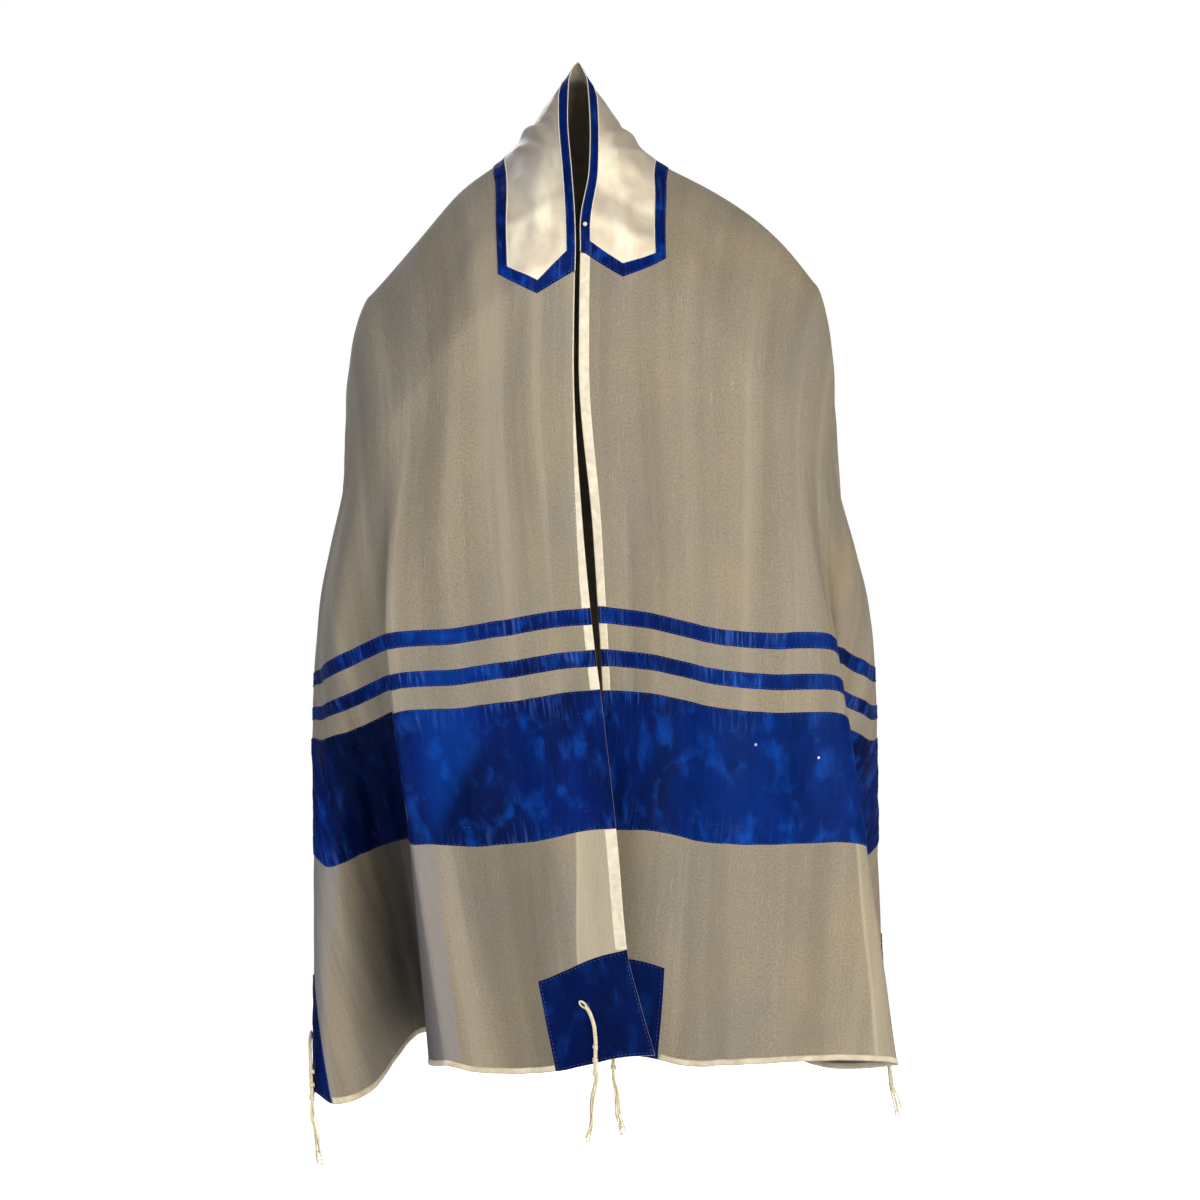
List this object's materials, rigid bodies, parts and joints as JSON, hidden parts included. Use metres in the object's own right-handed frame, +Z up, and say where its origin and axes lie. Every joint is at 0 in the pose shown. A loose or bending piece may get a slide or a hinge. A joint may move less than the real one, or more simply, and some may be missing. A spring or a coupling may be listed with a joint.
{
  "type": "tallit prayer shawl",
  "caption": "Prayer shawl worn over the shoulders: sheer ground cloth with blue satin bands, a pointed collar, corner patches and knotted tassels, held up as if worn.",
  "frame": {"origin": "the nape, where the middle of the neck edge rests on the wearer", "axes": "+Z up, -Y the front of the garment, +X to the viewer's right when it is seen from the front"},
  "size_m": [0.575, 0.3475, 1.0686],
  "materials": {
    "ground_cloth": "semi-sheer woven voile, matt, with fine slubs",
    "blue_satin": "blue satin with a soft silver sheen",
    "collar_satin": "cream satin with a soft sheen",
    "white_tape": "white woven edging tape, matt",
    "tassel_thread": "cream twisted wool thread"
  },
  "bodies": {
    "root": {"shawl": "ground_cloth", "collar_satin": "collar_satin", "collar_border": "blue_satin", "narrow_band_upper_left": "blue_satin", "narrow_band_lower_left": "blue_satin", "wide_band_left": "blue_satin", "edging_neck_left": "white_tape", "edging_between_bands_left": "white_tape", "edging_above_wide_band_left": "white_tape", "edging_below_wide_band_left": "white_tape", "patch_front_left": "blue_satin", "patch_side_left": "blue_satin", "narrow_band_upper_right": "blue_satin", "narrow_band_lower_right": "blue_satin", "wide_band_right": "blue_satin", "edging_neck_right": "white_tape", "edging_between_bands_right": "white_tape", "edging_above_wide_band_right": "white_tape", "edging_below_wide_band_right": "white_tape", "patch_front_right": "blue_satin", "patch_side_right": "blue_satin", "tassel_front_left": "tassel_thread", "tassel_side_left": "tassel_thread", "tassel_front_right": "tassel_thread", "tassel_side_right": "tassel_thread"}
  },
  "joints": []
}
